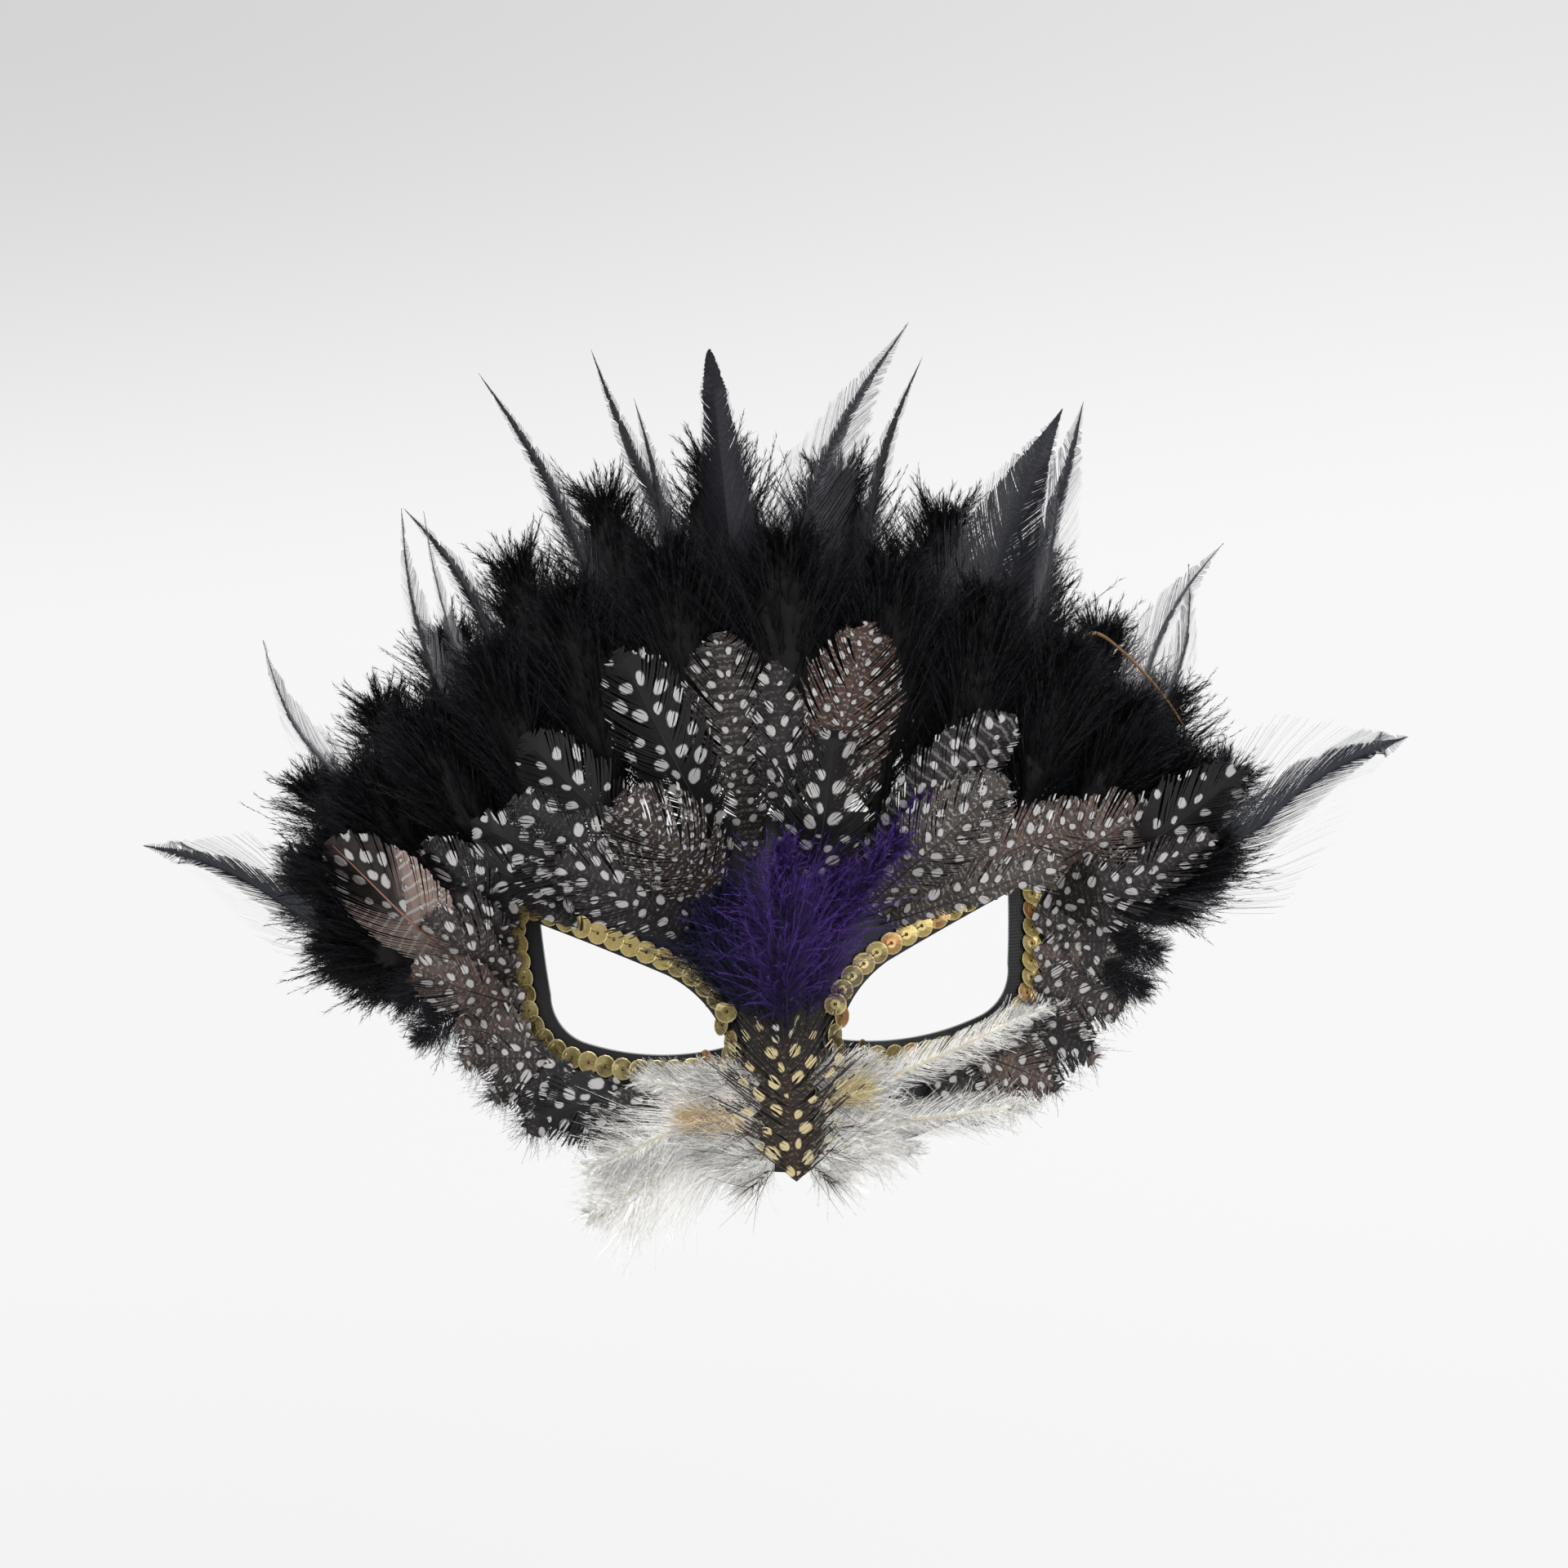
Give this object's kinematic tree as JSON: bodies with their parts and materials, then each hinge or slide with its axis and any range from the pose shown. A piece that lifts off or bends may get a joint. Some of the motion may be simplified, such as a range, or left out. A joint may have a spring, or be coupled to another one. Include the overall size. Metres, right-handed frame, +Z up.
{
  "type": "venetian masquerade mask",
  "caption": "Feathered half mask with cat-eye holes, gold sequin trim, a dome of black plumes, spotted feathers and a beak-like nose feather",
  "frame": {"origin": "the wearer's side of the nose bridge, midway between the eyes", "axes": "+X to the viewer's right across the mask, +Y back towards the wearer, +Z up"},
  "size_m": [0.3034, 0.0917, 0.2004],
  "materials": {
    "lining_felt": "black felt",
    "moulded_board": "black pressed paper board",
    "black_satin": "black satin",
    "gold_sequin": "thin gold sequin film",
    "gold_thread": "gold thread",
    "black_eyelet": "black enamelled eyelet",
    "black_marabou": "black marabou down",
    "black_hackle": "black and smoke grey hackle",
    "guinea_feather": "guinea fowl feather with white dots",
    "brown_dotted_feather": "brown feather with cream dots",
    "purple_plume": "purple dyed down",
    "navy_plume": "navy dyed down",
    "white_feather": "white and cream feather",
    "tan_quill": "bare quill"
  },
  "bodies": {
    "root": {"beak_feather": "brown_dotted_feather", "eye_binding_left": "black_satin", "eye_binding_right": "black_satin", "eyelet_left": "black_eyelet", "eyelet_right": "black_eyelet", "face_lining": "lining_felt", "front_cover": "black_satin", "guinea_brow_left": "guinea_feather", "guinea_brow_right": "guinea_feather", "guinea_cheek_left": "guinea_feather", "guinea_cheek_right": "guinea_feather", "guinea_forehead": "guinea_feather", "guinea_temple_left": "guinea_feather", "guinea_temple_right": "guinea_feather", "hackle_crown_blunt": "black_hackle", "hackle_crown_clear": "black_hackle", "hackle_crown_left": "black_hackle", "hackle_crown_pair_long": "black_hackle", "hackle_crown_pair_short": "black_hackle", "hackle_crown_thin": "black_hackle", "hackle_left_curved": "black_hackle", "hackle_left_grey": "black_hackle", "hackle_left_low": "black_hackle", "hackle_left_pale": "black_hackle", "hackle_left_upright": "black_hackle", "hackle_right_broad": "black_hackle", "hackle_right_crossing": "black_hackle", "hackle_right_dark": "black_hackle", "hackle_right_low": "black_hackle", "hackle_right_thin": "black_hackle", "hackle_right_upright": "black_hackle", "marabou_back_crown": "black_marabou", "marabou_back_left": "black_marabou", "marabou_back_right": "black_marabou", "marabou_front_crown": "black_marabou", "marabou_front_left": "black_marabou", "marabou_front_right": "black_marabou", "mask_shell": "moulded_board", "navy_plume": "navy_plume", "purple_plume_centre": "purple_plume", "purple_plume_left": "purple_plume", "purple_plume_right": "purple_plume", "purple_strand": "purple_plume", "sequin_trim_left": "gold_sequin", "sequin_trim_right": "gold_sequin", "tan_quill": "tan_quill", "trim_thread_left": "gold_thread", "trim_thread_right": "gold_thread", "white_feather_left_low": "white_feather", "white_feather_left_mid": "white_feather", "white_feather_left_up": "white_feather", "white_feather_right_long": "white_feather", "white_feather_right_low": "white_feather", "white_feather_right_tuft": "white_feather"}
  },
  "joints": []
}
